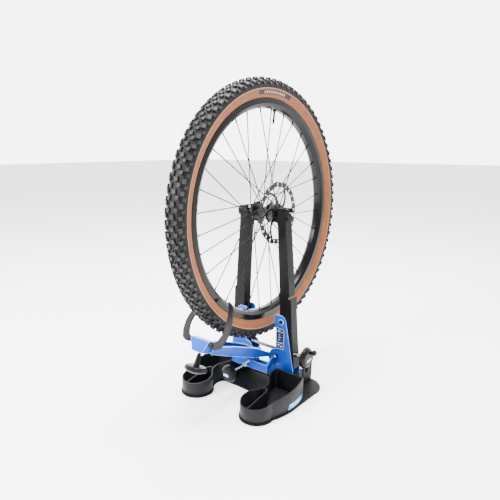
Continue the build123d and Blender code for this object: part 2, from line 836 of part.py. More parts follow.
with BuildPart() as calliper_bracket:
    with BuildSketch(FACE):
        with BuildLine():
            Polyline(
                (-FACE_TOP_X, 0),
                (FACE_TOP_X, 0),
                (FACE_FOOT_X, -FACE_H),
                (-FACE_FOOT_X, -FACE_H),
                close=True,
            )
        make_face()
    extrude(amount=-BRACKET_DEPTH)
    with BuildSketch(FACE.offset(-BRACKET_WALL)):
        with Locations((0, -TANG_DROP)):
            Rectangle(3 * FACE_TOP_X, TANG_H + 2 * HINGE_GAP)
    extrude(amount=-(BRACKET_DEPTH - 2 * BRACKET_WALL), mode=Mode.SUBTRACT)
    with BuildSketch(Plane(FACE.from_local_coords((0, -FACE_H - 1, -BRACKET_DEPTH / 2)),
                           x_dir=(1, 0, 0), z_dir=FACE.y_dir)):
        Circle(C_SHAFT_R + RUN_FIT)
    extrude(amount=FACE_H - TANG_DROP + 1, mode=Mode.SUBTRACT)

CALLIPER_PLANE = Plane(
    origin=FACE.from_local_coords((0, 0, -CALLIPER_BACK)),
    x_dir=(1, 0, 0),
    z_dir=(0, -cos(radians(CALLIPER_TILT)), sin(radians(CALLIPER_TILT))),
)

def calliper(side, tang_row):
    """A calliper on the side +1 or -1: a bowed plate, a collar, and a tang through the bracket."""
    with BuildPart() as body:
        with BuildSketch(CALLIPER_PLANE):
            with BuildLine():
                foot = [(40, -17), (53, -17), (66, -10), (69, -6), (54, 3), (40, 0)]
                Polyline(*[(side * x, y) for x, y in foot], close=True)
            make_face()
            with BuildLine():
                bow_out = [(60, -13), (69, -3), (75.5, 14), (77.5, 33), (71.5, 65), (65, 83), (60, 97)]
                bow_in = [(47.5, 92), (52, 78), (56.5, 54), (59, 32), (55, 15), (48, 2)]
                outer = Spline(*[(side * x, y) for x, y in bow_out])
                inner = Spline(*[(side * x, y) for x, y in bow_in])
                Polyline(outer @ 1, (side * 51, 108), (side * 38, 114), (side * 37, 111), inner @ 0)
                Line(inner @ 1, outer @ 0)
            make_face()
        extrude(amount=-CALLIPER_T)
        with BuildSketch(FACE.offset(-1.5)):
            with Locations((side * (COLLAR_X + COLLAR_W / 2), -TANG_DROP)):
                Rectangle(COLLAR_W, TANG_H + 4)
        extrude(amount=-(BRACKET_DEPTH - 3))
        with BuildSketch(FACE.offset(tang_row)):
            with Locations((side * (COLLAR_X + 10 - TANG_L / 2), -TANG_DROP)):
                Rectangle(TANG_L, TANG_H)
        extrude(amount=-TANG_T)
    return body.part


with BuildPart() as calliper_right:
    add(calliper(1, -BRACKET_WALL - HINGE_GAP))

with BuildPart() as calliper_left:
    add(calliper(-1, -BRACKET_DEPTH + BRACKET_WALL + HINGE_GAP + TANG_T))

SHAFT_PLANE = Plane(
    FACE.from_local_coords((0, -C_KNOB_DROP, -BRACKET_DEPTH / 2)), x_dir=(1, 0, 0), z_dir=FACE.y_dir
)
SHAFT_TOP = C_KNOB_DROP - TANG_DROP + TANG_H / 2

with BuildPart() as calliper_shaft:
    with BuildSketch(SHAFT_PLANE.offset(C_KNOB_W)):
        Circle(C_SHAFT_R)
    extrude(amount=SHAFT_TOP - C_KNOB_W)
    # pinion between the two tangs
    with BuildSketch(SHAFT_PLANE.offset(SHAFT_TOP - TANG_H)):
        Circle(PINION_R)
    extrude(amount=TANG_H)

with BuildPart() as calliper_knob:
    add(
        turned(
            [
                (0, -4),
                (C_KNOB_R - 12, -3),
                (C_KNOB_R - 3, 1),
                (C_KNOB_R, 5),
                (C_KNOB_R, C_KNOB_W - 5),
                (C_KNOB_R - 4, C_KNOB_W - 1),
                (C_KNOB_R - 14, C_KNOB_W),
                (C_NECK_FOOT_R, C_KNOB_W + 1),
                (C_NECK_TOP_R, C_NECK_TOP),
                (C_SHAFT_R + RUN_FIT, C_NECK_TOP),
                (C_SHAFT_R + RUN_FIT, C_KNOB_W),
                (0, C_KNOB_W),
            ],
            SHAFT_PLANE,
            SHAFT_PLANE.origin,
        )
    )

# ================================================================ height screw
with BuildPart() as height_screw:
    add(rod_y(H_SHAFT_R, H_KNOB_Y + H_KNOB_W, -NOSE_Y + 14, 0, HEIGHT_Z))

with BuildPart() as height_collar:
    add(rod_y(COLLAR_R, COLLAR_Y, COLLAR_Y + COLLAR_L, 0, HEIGHT_Z))
    add(rod_y(H_SHAFT_R, COLLAR_Y - 1, COLLAR_Y + COLLAR_L + 1, 0, HEIGHT_Z), mode=Mode.SUBTRACT)

with BuildPart() as height_knob:
    add(
        turned(
            [
                (0, 0),
                (H_KNOB_R - 12, -1),
                (H_KNOB_R - 5, -3.5),
                (H_KNOB_R - 1, -8),
                (H_KNOB_R, -12),
                (H_KNOB_R - 1, -H_KNOB_W + 6),
                (H_KNOB_R - 4, -H_KNOB_W + 2),
                (8, -H_KNOB_W),
                (0, -H_KNOB_W),
            ],
            Plane.XZ,
            (0, H_KNOB_Y, HEIGHT_Z),
        )
    )

with BuildPart() as height_badge:
    with BuildSketch(Plane.XZ.offset(-H_KNOB_Y)):
        with Locations((0, HEIGHT_Z)):
            SlotOverall(20, 9)
    extrude(amount=0.8)

# ================================================================ wheel
WHEEL = Plane(origin=(0, 0, HUB_Z), x_dir=(0, 1, 0), z_dir=(1, 0, 0))


def wheel_ring(profile):
    """A ring of the wheel: profile points are (radius, x)."""
    return turned(profile, WHEEL, WHEEL.origin)


BEAD_R = RIM_R - RIM_BED
LIP_X = RIM_W / 2 - RIM_WALL
tyre_outside = [
    (BEAD_R, LIP_X),
    (RIM_R + 1, LIP_X),
    (RIM_R + 3, RIM_W / 2),
    (RIM_R + 12, 24.5),
    (RIM_R + 23, 28.5),
    (RIM_R + 33, TYRE_W / 2),
    (TYRE_R - 13, TYRE_W / 2),
    (TYRE_R - 4, 23),
    (TYRE_R, 15),
]
tyre_inside = [
    (TYRE_R - TREAD_T, 14),
    (TYRE_R - TREAD_T - 6, 21),
    (TYRE_R - TREAD_T - 12, TYRE_W / 2 - TYRE_WALL),
    (RIM_R + 23, 28.5 - TYRE_WALL),
    (RIM_R + 3, RIM_W / 2 - TYRE_WALL - 1),
    (BEAD_R, LIP_X - TYRE_WALL - 1),
]
with BuildPart() as tyre:
    add(
        wheel_ring(
            tyre_outside
            + [(r, -x) for r, x in reversed(tyre_outside)]
            + [(r, -x) for r, x in reversed(tyre_inside)]
            + tyre_inside
        )
    )

with BuildPart() as rim:
    half = [
        (RIM_R, RIM_W / 2),
        (RIM_R - RIM_BED - 3, RIM_W / 2),
        (RIM_R - RIM_DEPTH + 4, 13),
        (RIM_R - RIM_DEPTH, 6),
    ]
    well = [(RIM_R, LIP_X), (BEAD_R, LIP_X)]
    add(
        wheel_ring(
            half
            + [(r, -x) for r, x in reversed(half)]
            + [(r, -x) for r, x in well]
            + [(r, x) for r, x in reversed(well)]
        )
    )
    cavity = [
        (BEAD_R - RIM_WALL, LIP_X - 1),
        (RIM_R - RIM_BED - 3, LIP_X - 1),
        (RIM_R - RIM_DEPTH + 4 + RIM_WALL, 11),
        (RIM_R - RIM_DEPTH + RIM_WALL, 5),
    ]
    add(wheel_ring(cavity + [(r, -x) for r, x in reversed(cavity)]), mode=Mode.SUBTRACT)

with BuildPart() as hub_shell:
    add(
        wheel_ring(
            [
                (BEARING_R, -HUB_W / 2),
                (HUB_END_R, -HUB_W / 2),
                (HUB_END_R, FLANGE_LEFT_X - NECK_W),
                (NECK_R, FLANGE_LEFT_X - NECK_W),
                (NECK_R, FLANGE_LEFT_X),
                (FLANGE_R, FLANGE_LEFT_X),
                (FLANGE_R, FLANGE_LEFT_X + FLANGE_T),
                (BARREL_R, FLANGE_LEFT_X + FLANGE_T),
                (BARREL_R, FLANGE_RIGHT_X),
                (FLANGE_R, FLANGE_RIGHT_X),
                (FLANGE_R, FLANGE_RIGHT_X + FLANGE_T),
                (NECK_R, FLANGE_RIGHT_X + FLANGE_T),
                (NECK_R, FLANGE_RIGHT_X + FLANGE_T + NECK_W),
                (ROTOR_HUB_R, FLANGE_RIGHT_X + FLANGE_T + NECK_W),
                (ROTOR_HUB_R, ROTOR_X),
                (ROTOR_BORE_R, ROTOR_X),
                (ROTOR_BORE_R, ROTOR_X + ROTOR_T),
                (HUB_END_R, ROTOR_X + ROTOR_T),
                (HUB_END_R, HUB_W / 2),
                (BEARING_R, HUB_W / 2),
            ]
        )
    )
    for x in (FLANGE_LEFT_X, FLANGE_RIGHT_X):
        with BuildSketch(Plane.YZ.offset(x - 1)):
            with Locations((0, HUB_Z)):
                with PolarLocations(SPOKE_CIRCLE_R, SPOKES_PER_SIDE):
                    Circle(SPOKE_R + RUN_FIT)
        extrude(amount=FLANGE_T + 2, mode=Mode.SUBTRACT)
    with BuildSketch(Plane.YZ.offset(ROTOR_X)):
        with Locations((0, HUB_Z)):
            with PolarLocations(ROTOR_BOLT_CIRCLE, ROTOR_BOLTS):
                Circle(ROTOR_BOLT_R)
    extrude(amount=-10, mode=Mode.SUBTRACT)

with BuildPart() as hub_bearing:
    for x in (-HUB_W / 2 + 1, HUB_W / 2 - 1 - BEARING_W):
        add(rod_x(BEARING_R, x, x + BEARING_W, 0, HUB_Z))
    add(rod_x(AXLE_R + RUN_FIT, -HUB_W, HUB_W, 0, HUB_Z), mode=Mode.SUBTRACT)

with BuildPart() as brake_rotor:
    with BuildSketch(Plane.YZ.offset(ROTOR_X)):
        with Locations((0, HUB_Z)):
            Circle(ROTOR_R)
            Circle(ROTOR_R - ROTOR_BAND, mode=Mode.SUBTRACT)
            Circle(ROTOR_HUB_R)
            with PolarLocations((ROTOR_HUB_R + ROTOR_R - ROTOR_BAND) / 2, ROTOR_BOLTS):
                Rectangle(ROTOR_R - ROTOR_BAND - ROTOR_HUB_R + 6, 9, rotation=28)
            Circle(ROTOR_BORE_R, mode=Mode.SUBTRACT)
            with PolarLocations(ROTOR_BOLT_CIRCLE, ROTOR_BOLTS):
                Circle(ROTOR_BOLT_R, mode=Mode.SUBTRACT)
            with PolarLocations(ROTOR_R - ROTOR_BAND / 2 - 3, 24):
                Circle(2.6, mode=Mode.SUBTRACT)
            with PolarLocations(ROTOR_R, 24):
                Circle(2.2, mode=Mode.SUBTRACT)
    extrude(amount=ROTOR_T)

with BuildPart() as rotor_bolt:
    with BuildSketch(Plane.YZ.offset(ROTOR_X - 9)):
        with Locations((0, HUB_Z)):
            with PolarLocations(ROTOR_BOLT_CIRCLE, ROTOR_BOLTS):
                Circle(ROTOR_BOLT_R)
    extrude(amount=9 + ROTOR_T)
    with BuildSketch(Plane.YZ.offset(ROTOR_X + ROTOR_T)):
        with Locations((0, HUB_Z)):
            with PolarLocations(ROTOR_BOLT_CIRCLE, ROTOR_BOLTS):
                Circle(3.9)
    extrude(amount=1.8)


def on_wheel(radius, degrees, x):
    """A point of the wheel at an angle from the top towards the front."""
    angle = radians(degrees)
    return Vector(x, -radius * sin(angle), HUB_Z + radius * cos(angle))


def spoke_ends(k, flange_x):
    """Hub end and rim end of spoke k: odd spokes lead, even ones trail."""
    step = 360 / SPOKES_PER_SIDE
    lead = 1 if k % 2 else -1
    hub = on_wheel(SPOKE_CIRCLE_R, k * step, flange_x + FLANGE_T / 2 + lead * SPOKE_LACE)
    rim_turn = k * step + lead * SPOKE_SWEEP + (step / 4 if flange_x > 0 else -step / 4)
    towards = 1 if flange_x > 0 else -1
    return hub, on_wheel(RIM_R - RIM_DEPTH + 1, rim_turn, towards * 1.5 + lead * 0.8)


def spoke_set(flange_x):
    """All spokes of one side, each with its bent head in the flange."""
    spokes, nipples = [], []
    for k in range(SPOKES_PER_SIDE):
        hub, end = spoke_ends(k, flange_x)
        run = end - hub
        length = run.length - NIPPLE_L
        lead = 1 if k % 2 else -1
        with BuildPart() as spoke:
            with BuildSketch(Plane(hub, z_dir=run)):
                Circle(SPOKE_R)
            extrude(amount=length)
            with BuildSketch(Plane(hub, z_dir=(-lead, 0, 0))):
                Circle(SPOKE_R)
            extrude(amount=2 * SPOKE_LACE)
            with Locations(hub):
                Sphere(SPOKE_R)
        spokes.append(spoke.part.solid())
        with BuildPart() as nipple:
            with BuildSketch(Plane(hub + run.normalized() * length, z_dir=run)):
                Circle(NIPPLE_R)
            extrude(amount=NIPPLE_L + 3)
            add(rim_envelope, mode=Mode.SUBTRACT)
        nipples.append(nipple.part.solid())
    return spokes, nipples


rim_envelope = wheel_ring(
    [
        (RIM_R, 20),
        (RIM_R - RIM_DEPTH, 20),
        (RIM_R - RIM_DEPTH, -20),
        (RIM_R, -20),
    ]
)
right_spokes, right_nipples = spoke_set(FLANGE_RIGHT_X)
left_spokes, left_nipples = spoke_set(FLANGE_LEFT_X)

valve_foot = on_wheel(RIM_R - RIM_DEPTH - VALVE_L, -VALVE_ANGLE, 0)
valve_top = on_wheel(RIM_R - RIM_DEPTH + 1, -VALVE_ANGLE, 0)
with BuildPart() as valve_stem:
    with BuildSketch(Plane(valve_foot, z_dir=valve_top - valve_foot)):
        Circle(VALVE_R)
    extrude(amount=VALVE_L + 4)
    with BuildSketch(Plane(valve_top, z_dir=valve_foot - valve_top)):
        Circle(VALVE_R + 2.5)
    extrude(amount=5)
    add(rim_envelope, mode=Mode.SUBTRACT)

# ================================================================ files
NODES = {
    "base_plate": base_plate.part,
    "tray_right": tray_right.part,
    "tray_left": tray_left.part,
    "tray_screws": both_sides(tray_screw.part),
    "tray_badges": both_sides(Part() + badge_skin),
    "tilt_posts": both_sides(post.part),
    "tilt_bolts": both_sides(tilt_bolt.part),
    "cradle_rests": both_sides(cradle_rest.part),
    "tilt_cradle": tilt_cradle.part,
    "front_plate": front_plate.part,
    "rear_plate": rear_plate.part,
    "plate_spacers": both_sides(spacer.part),
    "spacer_bolts": both_sides(spacer_bolt.part),
    "pivot_bolts": both_sides(pivot_bolt.part),
    "plate_labels": both_sides(label.part),
    "screw_supports": both_sides(screw_support.part),
    "arm_ears": both_sides(arm_ear.part),
    "arm_pin": arm_pin.part,
    "axle_rod": axle_rod.part,
    "height_bush": height_bush.part,
    "upright_right": upright_right.part,
    "upright_left": upright_left.part,
    "upright_cover_right": cover_right.part,
    "upright_cover_left": cover_left.part,
    "dropout_right": boss_right.part,
    "dropout_left": boss_left.part,
    "lead_screw": lead_screw.part,
    "screw_stop": screw_stop.part,
    "lead_knob": lead_knob.part,
    "lead_knob_badge": lead_badge.part,
    "crank_grip": crank_grip.part,
    "screw_nut_right": nut_right.part,
    "screw_nut_left": nut_left.part,
    "calliper_arm": calliper_arm.part,
    "calliper_bracket": calliper_bracket.part,
    "calliper_right": calliper_right.part,
    "calliper_left": calliper_left.part,
    "calliper_shaft": calliper_shaft.part,
    "calliper_knob": calliper_knob.part,
    "height_screw": height_screw.part,
    "height_collar": height_collar.part,
    "height_knob": height_knob.part,
    "height_knob_badge": height_badge.part,
    "tyre": tyre.part,
    "rim": rim.part,
    "hub_shell": hub_shell.part,
    "hub_bearings": hub_bearing.part,
    "brake_rotor": brake_rotor.part,
    "rotor_bolts": rotor_bolt.part,
    "spokes_right": Compound(children=right_spokes),
    "spokes_left": Compound(children=left_spokes),
    "spoke_nipples": Compound(children=right_nipples + left_nipples),
    "valve_stem": valve_stem.part,
}

os.makedirs("parts", exist_ok=True)
for node, shape in NODES.items():
    shape.label = node
    export_step(shape, f"parts/{node}.step")
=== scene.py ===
"""Looks of the wheel truing stand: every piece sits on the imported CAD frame, in metres."""

from math import cos, pi, radians, sin, tau

import bpy
from mathutils import Matrix, Vector


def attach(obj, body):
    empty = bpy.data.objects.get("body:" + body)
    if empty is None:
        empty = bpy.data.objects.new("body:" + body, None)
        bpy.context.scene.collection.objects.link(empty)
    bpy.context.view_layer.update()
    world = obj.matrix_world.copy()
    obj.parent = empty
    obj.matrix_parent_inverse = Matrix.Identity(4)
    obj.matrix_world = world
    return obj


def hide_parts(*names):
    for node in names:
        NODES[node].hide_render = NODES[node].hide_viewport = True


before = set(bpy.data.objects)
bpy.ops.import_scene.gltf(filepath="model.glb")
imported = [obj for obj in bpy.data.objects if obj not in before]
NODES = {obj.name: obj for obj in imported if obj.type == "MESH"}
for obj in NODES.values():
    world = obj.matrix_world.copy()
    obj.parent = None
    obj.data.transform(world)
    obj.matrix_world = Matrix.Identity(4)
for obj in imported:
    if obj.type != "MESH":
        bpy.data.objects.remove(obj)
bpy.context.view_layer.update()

MM = 0.001
HUB = Vector((0, 0, 0.53))
BOTH = (1, -1)  # right side, left side

# studio
FLOOR_SIZE, FLOOR_DROP = 40, 0.5 * MM
BACKDROP = (-0.62, 0.78, 0.1)  # the bright part of the surroundings lies this way
WORLD_DIM, WORLD_BRIGHT = 1.5, 6.5
LIGHTS = (  # name, place, size, power
    ("key_left", (-1.1, -2.7, 2.1), 1.4, 330),
    ("top", (0.1, 0.2, 3.0), 1.8, 330),
)
LIGHT_TARGET = (0, 0, 0.4)
CAMERA_PLACE = (0.7893, -1.0694, 0.7138)
CAMERA_ACROSS, CAMERA_UP = radians(38.37), radians(12.67)
CAMERA_LENS, CAMERA_SENSOR = 32.81, 36.0

# sidewall bands (radius from the axle) and the printed patch (angle from the wheel's rear)
SHADE_FROM, SHADE_TO = 336.0 * MM, 342.5 * MM
PALE_LINE = (340.5 * MM, 342.4 * MM)
PATCH_R, PATCH_TURN = (326.2 * MM, 337.4 * MM), (radians(75.5), radians(101.5))
MARKS_R, MARKS_TURN = (328.8 * MM, 334.8 * MM), (radians(80), radians(97))

# edges and spokes
EDGE_WIDTH, EDGE_ANGLE = 0.7 * MM, radians(50)
WELD_REACH = 0.01 * MM
SPOKE_SWELL = 0.5 * MM


# ---------------------------------------------------------------- materials
def material(name, colour, rough, metal=0.0, spec=0.5, coat=0.0, coat_rough=0.1):
    """A principled material whose node tree the callers below finish."""
    mat = bpy.data.materials.new(name)
    mat.use_nodes = True
    bsdf = mat.node_tree.nodes["Principled BSDF"]
    bsdf.inputs["Base Color"].default_value = (*colour, 1)
    bsdf.inputs["Roughness"].default_value = rough
    bsdf.inputs["Metallic"].default_value = metal
    bsdf.inputs["Specular IOR Level"].default_value = spec
    bsdf.inputs["Coat Weight"].default_value = coat
    bsdf.inputs["Coat Roughness"].default_value = coat_rough
    return mat


class Tree:
    """Short names for adding nodes to a material."""

    def __init__(self, mat):
        self.nodes, self.links = mat.node_tree.nodes, mat.node_tree.links
        self.bsdf = self.nodes["Principled BSDF"]

    def node(self, kind, **values):
        made = self.nodes.new(kind)
        for key, value in values.items():
            setattr(made, key, value)
        return made

    def link(self, source, target):
        self.links.new(source, target)

    def position(self):
        return self.node("ShaderNodeTexCoord").outputs["Object"]

    def math(self, operation, first, second=None):
        made = self.node("ShaderNodeMath", operation=operation)
        for index, value in enumerate((first, second)):
            if value is None:
                continue
            if isinstance(value, (int, float)):
                made.inputs[index].default_value = value
            else:
                self.link(value, made.inputs[index])
        return made.outputs[0]

    def inside(self, *bands):
        """One where every (value, (low, high)) band holds, else zero."""
        mask = None
        for value, (low, high) in bands:
            for sense, limit in (("GREATER_THAN", low), ("LESS_THAN", high)):
                test = self.math(sense, value, limit)
                mask = test if mask is None else self.math("MULTIPLY", mask, test)
        return mask

    def noise(self, scale, detail=4.0, rough=0.5):
        made = self.node("ShaderNodeTexNoise")
        made.inputs["Scale"].default_value = scale
        made.inputs["Detail"].default_value = detail
        made.inputs["Roughness"].default_value = rough
        self.link(self.position(), made.inputs["Vector"])
        return made.outputs["Fac"]

    def ramp(self, fac, stops):
        made = self.node("ShaderNodeValToRGB")
        elements = made.color_ramp.elements
        while len(elements) < len(stops):
            elements.new(0.5)
        for element, (at, colour) in zip(elements, stops):
            element.position = at
            element.color = (*colour, 1)
        self.link(fac, made.inputs["Fac"])
        return made.outputs["Color"]

    def remap(self, fac, low, high):
        made = self.node("ShaderNodeMapRange")
        made.inputs["To Min"].default_value = low
        made.inputs["To Max"].default_value = high
        self.link(fac, made.inputs["Value"])
        return made.outputs["Result"]

    def mix(self, fac, first, second):
        made = self.node("ShaderNodeMix", data_type="RGBA")
        self.link(fac, made.inputs["Factor"])
        for socket, value in ((made.inputs["A"], first), (made.inputs["B"], second)):
            if isinstance(value, tuple):
                socket.default_value = (*value, 1)
            else:
                self.link(value, socket)
        return made.outputs["Result"]

    def bump(self, height, distance, strength=1.0, after=None):
        made = self.node("ShaderNodeBump")
        made.inputs["Distance"].default_value = distance
        made.inputs["Strength"].default_value = strength
        self.link(height, made.inputs["Height"])
        if after:
            self.link(after, made.inputs["Normal"])
        return made.outputs["Normal"]

    def rounded(self, radius):
        made = self.node("ShaderNodeBevel", samples=4)
        made.inputs["Radius"].default_value = radius
        return made.outputs["Normal"]


def speckled(name, dark, light, rough, grain, depth, metal=0.0, coat=0.0, spec=0.5, edge=0.0006):
    """Paint or moulded plastic: blotchy colour, grain in gloss and relief, softened edges."""
    mat = material(name, light, sum(rough) / 2, metal, spec, coat)
    tree = Tree(mat)
    blotch = tree.noise(14.0, 5.0, 0.6)
    tree.link(tree.ramp(blotch, [(0.3, dark), (0.7, light)]), tree.bsdf.inputs["Base Color"])
    fine = tree.noise(grain, 3.0, 0.6)
    tree.link(tree.remap(fine, *rough), tree.bsdf.inputs["Roughness"])
    soft = tree.rounded(edge) if edge else None
    tree.link(tree.bump(fine, depth, 0.6, soft), tree.bsdf.inputs["Normal"])
    return mat


def tan_sidewall():
    """Skinwall casing: woven threads under thin rubber, with a browner, darker band near the tread.
    """
    mat = material("tan_sidewall", (0.42, 0.2, 0.1), 0.62, spec=0.35)
    tree = Tree(mat)
    where = tree.node("ShaderNodeSeparateXYZ")
    tree.link(tree.position(), where.inputs[0])
    up = tree.math("SUBTRACT", where.outputs["Z"], HUB.z)
    radius = tree.math(
        "SQRT",
        tree.math("ADD", tree.math("MULTIPLY", up, up),
                  tree.math("MULTIPLY", where.outputs["Y"], where.outputs["Y"])),
    )
    angle = tree.math("ARCTAN2", up, where.outputs["Y"])
    threads = []
    for slope in (1.0, -1.0):
        phase = tree.math("ADD", tree.math("MULTIPLY", angle, 720.0),
                          tree.math("MULTIPLY", radius, slope * 2400.0))
        threads.append(tree.math("SINE", phase))
    weave = tree.math("MAXIMUM", threads[0], threads[1])
    tone = tree.noise(38.0, 6.0, 0.65)
    base = tree.ramp(tone, [(0.25, (0.115, 0.030, 0.0045)), (0.75, (0.215, 0.064, 0.011))])
    edge = tree.node("ShaderNodeMapRange")
    edge.inputs["From Min"].default_value = SHADE_FROM
    edge.inputs["From Max"].default_value = SHADE_TO
    tree.link(radius, edge.inputs["Value"])
    shaded = tree.mix(edge.outputs["Result"], base, (0.12, 0.042, 0.018))
    stripes = tree.math("GREATER_THAN", tree.math("SINE", tree.math("MULTIPLY", angle, 210.0)), 0.1)
    marks = tree.math("MULTIPLY", stripes, tree.inside((radius, MARKS_R), (angle, MARKS_TURN)))
    shaded = tree.mix(tree.inside((radius, PATCH_R), (angle, PATCH_TURN)), shaded,
                      (0.006, 0.005, 0.0045))
    shaded = tree.mix(marks, shaded, (0.42, 0.30, 0.22))
    shaded = tree.mix(tree.inside((radius, PALE_LINE)), shaded, (0.34, 0.16, 0.065))
    tree.link(shaded, tree.bsdf.inputs["Base Color"])
    tree.link(tree.remap(tone, 0.5, 0.72), tree.bsdf.inputs["Roughness"])
    tree.link(tree.bump(weave, 0.00012, 0.5), tree.bsdf.inputs["Normal"])
    return mat


def threaded(name, axis, pitch, valley, crest):
    """A screw thread drawn as rings: relief along the axis, and a wave of colour that paints shade
    into the valleys and light onto the crests.
    """
    mat = material(name, crest, 0.25, metal=0.9)
    tree = Tree(mat)
    where = tree.node("ShaderNodeSeparateXYZ")
    tree.link(tree.position(), where.inputs[0])
    wave = tree.math("SINE", tree.math("MULTIPLY", where.outputs[axis], tau / pitch))
    level = tree.math("MULTIPLY", tree.math("ADD", wave, 1.0), 0.5)
    # valley colour is painted shade in the thread grooves, crest colour a painted highlight
    tree.link(tree.ramp(level, [(0.25, valley), (0.85, crest)]), tree.bsdf.inputs["Base Color"])
    tree.link(tree.remap(tree.noise(500.0), 0.2, 0.35), tree.bsdf.inputs["Roughness"])
    tree.link(tree.bump(level, 0.25 * MM, 0.8), tree.bsdf.inputs["Normal"])
    return mat


def lettered(name, ground, ink, along_span, up_span, slant, pitches):
    """A printed badge on a tray wall: slanted strokes, generic marks instead of a name."""
    mat = material(name, ground, 0.3, coat=0.3)
    tree = Tree(mat)
    where = tree.node("ShaderNodeSeparateXYZ")
    tree.link(tree.position(), where.inputs[0])
    along, up = where.outputs["Y"], where.outputs["Z"]
    lean = tree.math("SUBTRACT", along, tree.math("MULTIPLY", up, slant))
    combs = [tree.math("SINE", tree.math("MULTIPLY", lean, tau / pitch)) for pitch in pitches]
    strokes = tree.math("GREATER_THAN", tree.math("ADD", *combs), 0.15)
    marks = tree.math("MULTIPLY", strokes, tree.inside((up, up_span), (along, along_span)))
    tone = tree.ramp(tree.noise(60.0), [(0.3, tuple(c * 0.8 for c in ground)), (0.7, ground)])
    tree.link(tree.mix(marks, tone, ink), tree.bsdf.inputs["Base Color"])
    tree.link(tree.remap(tree.noise(700.0), 0.22, 0.36), tree.bsdf.inputs["Roughness"])
    return mat


BLUE = speckled("blue_powder_coat", (0.0, 0.030, 0.26), (0.0, 0.060, 0.42), (0.26, 0.40), 900.0,
                0.00008, coat=0.06, spec=0.16, edge=0.0012)
# a lighter copy of the blue powder coat: painted light on the calliper bracket
BLUE_WITH_PAINTED_LIGHT = speckled("lit_blue_powder_coat", (0.0, 0.050, 0.36), (0.0, 0.085, 0.52), (0.26, 0.40),
                       900.0, 0.00008, coat=0.08, spec=0.2, edge=0.0014)
UPRIGHT = speckled("satin_black_paint", (0.0015, 0.0015, 0.0018), (0.0034, 0.0034, 0.0038),
                   (0.34, 0.48), 1100.0, 0.00010, spec=0.08, edge=0.0010)
CALLIPER = speckled("satin_grey_steel", (0.008, 0.008, 0.0085), (0.016, 0.016, 0.0165),
                    (0.38, 0.52), 1000.0, 0.00008, spec=0.09, edge=0.0012)
PLATE = speckled("textured_black_paint", (0.0018, 0.0018, 0.0020), (0.0042, 0.0042, 0.0045),
                 (0.44, 0.62), 700.0, 0.00018, spec=0.08, edge=0.0008)
TRAY = speckled("grained_tray_plastic", (0.0036, 0.0040, 0.0046), (0.0075, 0.0080, 0.0090),
                (0.42, 0.58), 1500.0, 0.00012, spec=0.14, edge=0.0009)
# paler grey for the bevelled tray rims: a painted highlight along the rounded lips
TRAY_EDGE_HIGHLIGHT = speckled("tray_edge_painted_highlight", (0.030, 0.031, 0.033), (0.055, 0.056, 0.058), (0.35, 0.5),
                     1500.0, 0.00006, spec=0.3, edge=0.0)
KNOB = speckled("gloss_knob_plastic", (0.0016, 0.0016, 0.0019), (0.0035, 0.0035, 0.0040),
                (0.30, 0.42), 500.0, 0.00003, spec=0.11, edge=0.0010)
GRIP = speckled("soft_grip_plastic", (0.0020, 0.0020, 0.0022), (0.0045, 0.0045, 0.0050),
                (0.32, 0.46), 900.0, 0.00010, spec=0.14, edge=0.0004)
RIM = speckled("gloss_black_rim", (0.0012, 0.0012, 0.0014), (0.0028, 0.0028, 0.0030), (0.12, 0.20),
               600.0, 0.00002, spec=0.16, edge=0.0005)
HUB_BLACK = speckled("anodised_black", (0.0025, 0.0025, 0.003), (0.007, 0.007, 0.008), (0.24, 0.36),
                     1200.0, 0.00003, spec=0.25, edge=0.0004)
STEEL = speckled("zinc_steel", (0.42, 0.43, 0.45), (0.68, 0.69, 0.71), (0.18, 0.32), 800.0, 0.00003,
                 metal=1.0, edge=0.0003)
DARK_STEEL = speckled("black_oxide_steel", (0.004, 0.004, 0.0045), (0.012, 0.012, 0.013),
                      (0.26, 0.42), 900.0, 0.00005, metal=0.1, spec=0.2, edge=0.0003)
ROTOR = speckled("black_rotor_steel", (0.003, 0.003, 0.0034), (0.009, 0.009, 0.0098), (0.26, 0.40),
                 1300.0, 0.00004, metal=0.1, spec=0.2, edge=0.0002)
SPOKE = speckled("black_spokes", (0.0010, 0.0010, 0.0012), (0.0030, 0.0030, 0.0032), (0.35, 0.5),
                 1500.0, 0.00002, spec=0.08, edge=0.0)
RUBBER = speckled("tread_rubber", (0.0032, 0.0032, 0.0036), (0.0085, 0.0084, 0.0090), (0.52, 0.76),
                  420.0, 0.00025, spec=0.18, edge=0.0007)
BLOCK_TOP = speckled("lighter_block_tops", (0.008, 0.008, 0.0083), (0.022, 0.0217, 0.0215),
                     (0.5, 0.7), 600.0, 0.00012, spec=0.25, edge=0.0006)
REST = speckled("rest_rubber", (0.003, 0.003, 0.003), (0.008, 0.008, 0.008), (0.6, 0.8), 600.0,
                0.00015, spec=0.15, edge=0.0005)
TAN = tan_sidewall()
# the lead screw's pale crests are a painted highlight on a black rod; the height screw's dark
# valleys are painted shade
LEAD_THREAD = threaded("lead_screw_thread", "X", 2.5 * MM, (0.010, 0.010, 0.011),
                       (0.30, 0.30, 0.31))
HEIGHT_THREAD = threaded("height_screw_thread", "Y", 1.6 * MM, (0.30, 0.30, 0.32),
                         (0.72, 0.73, 0.75))
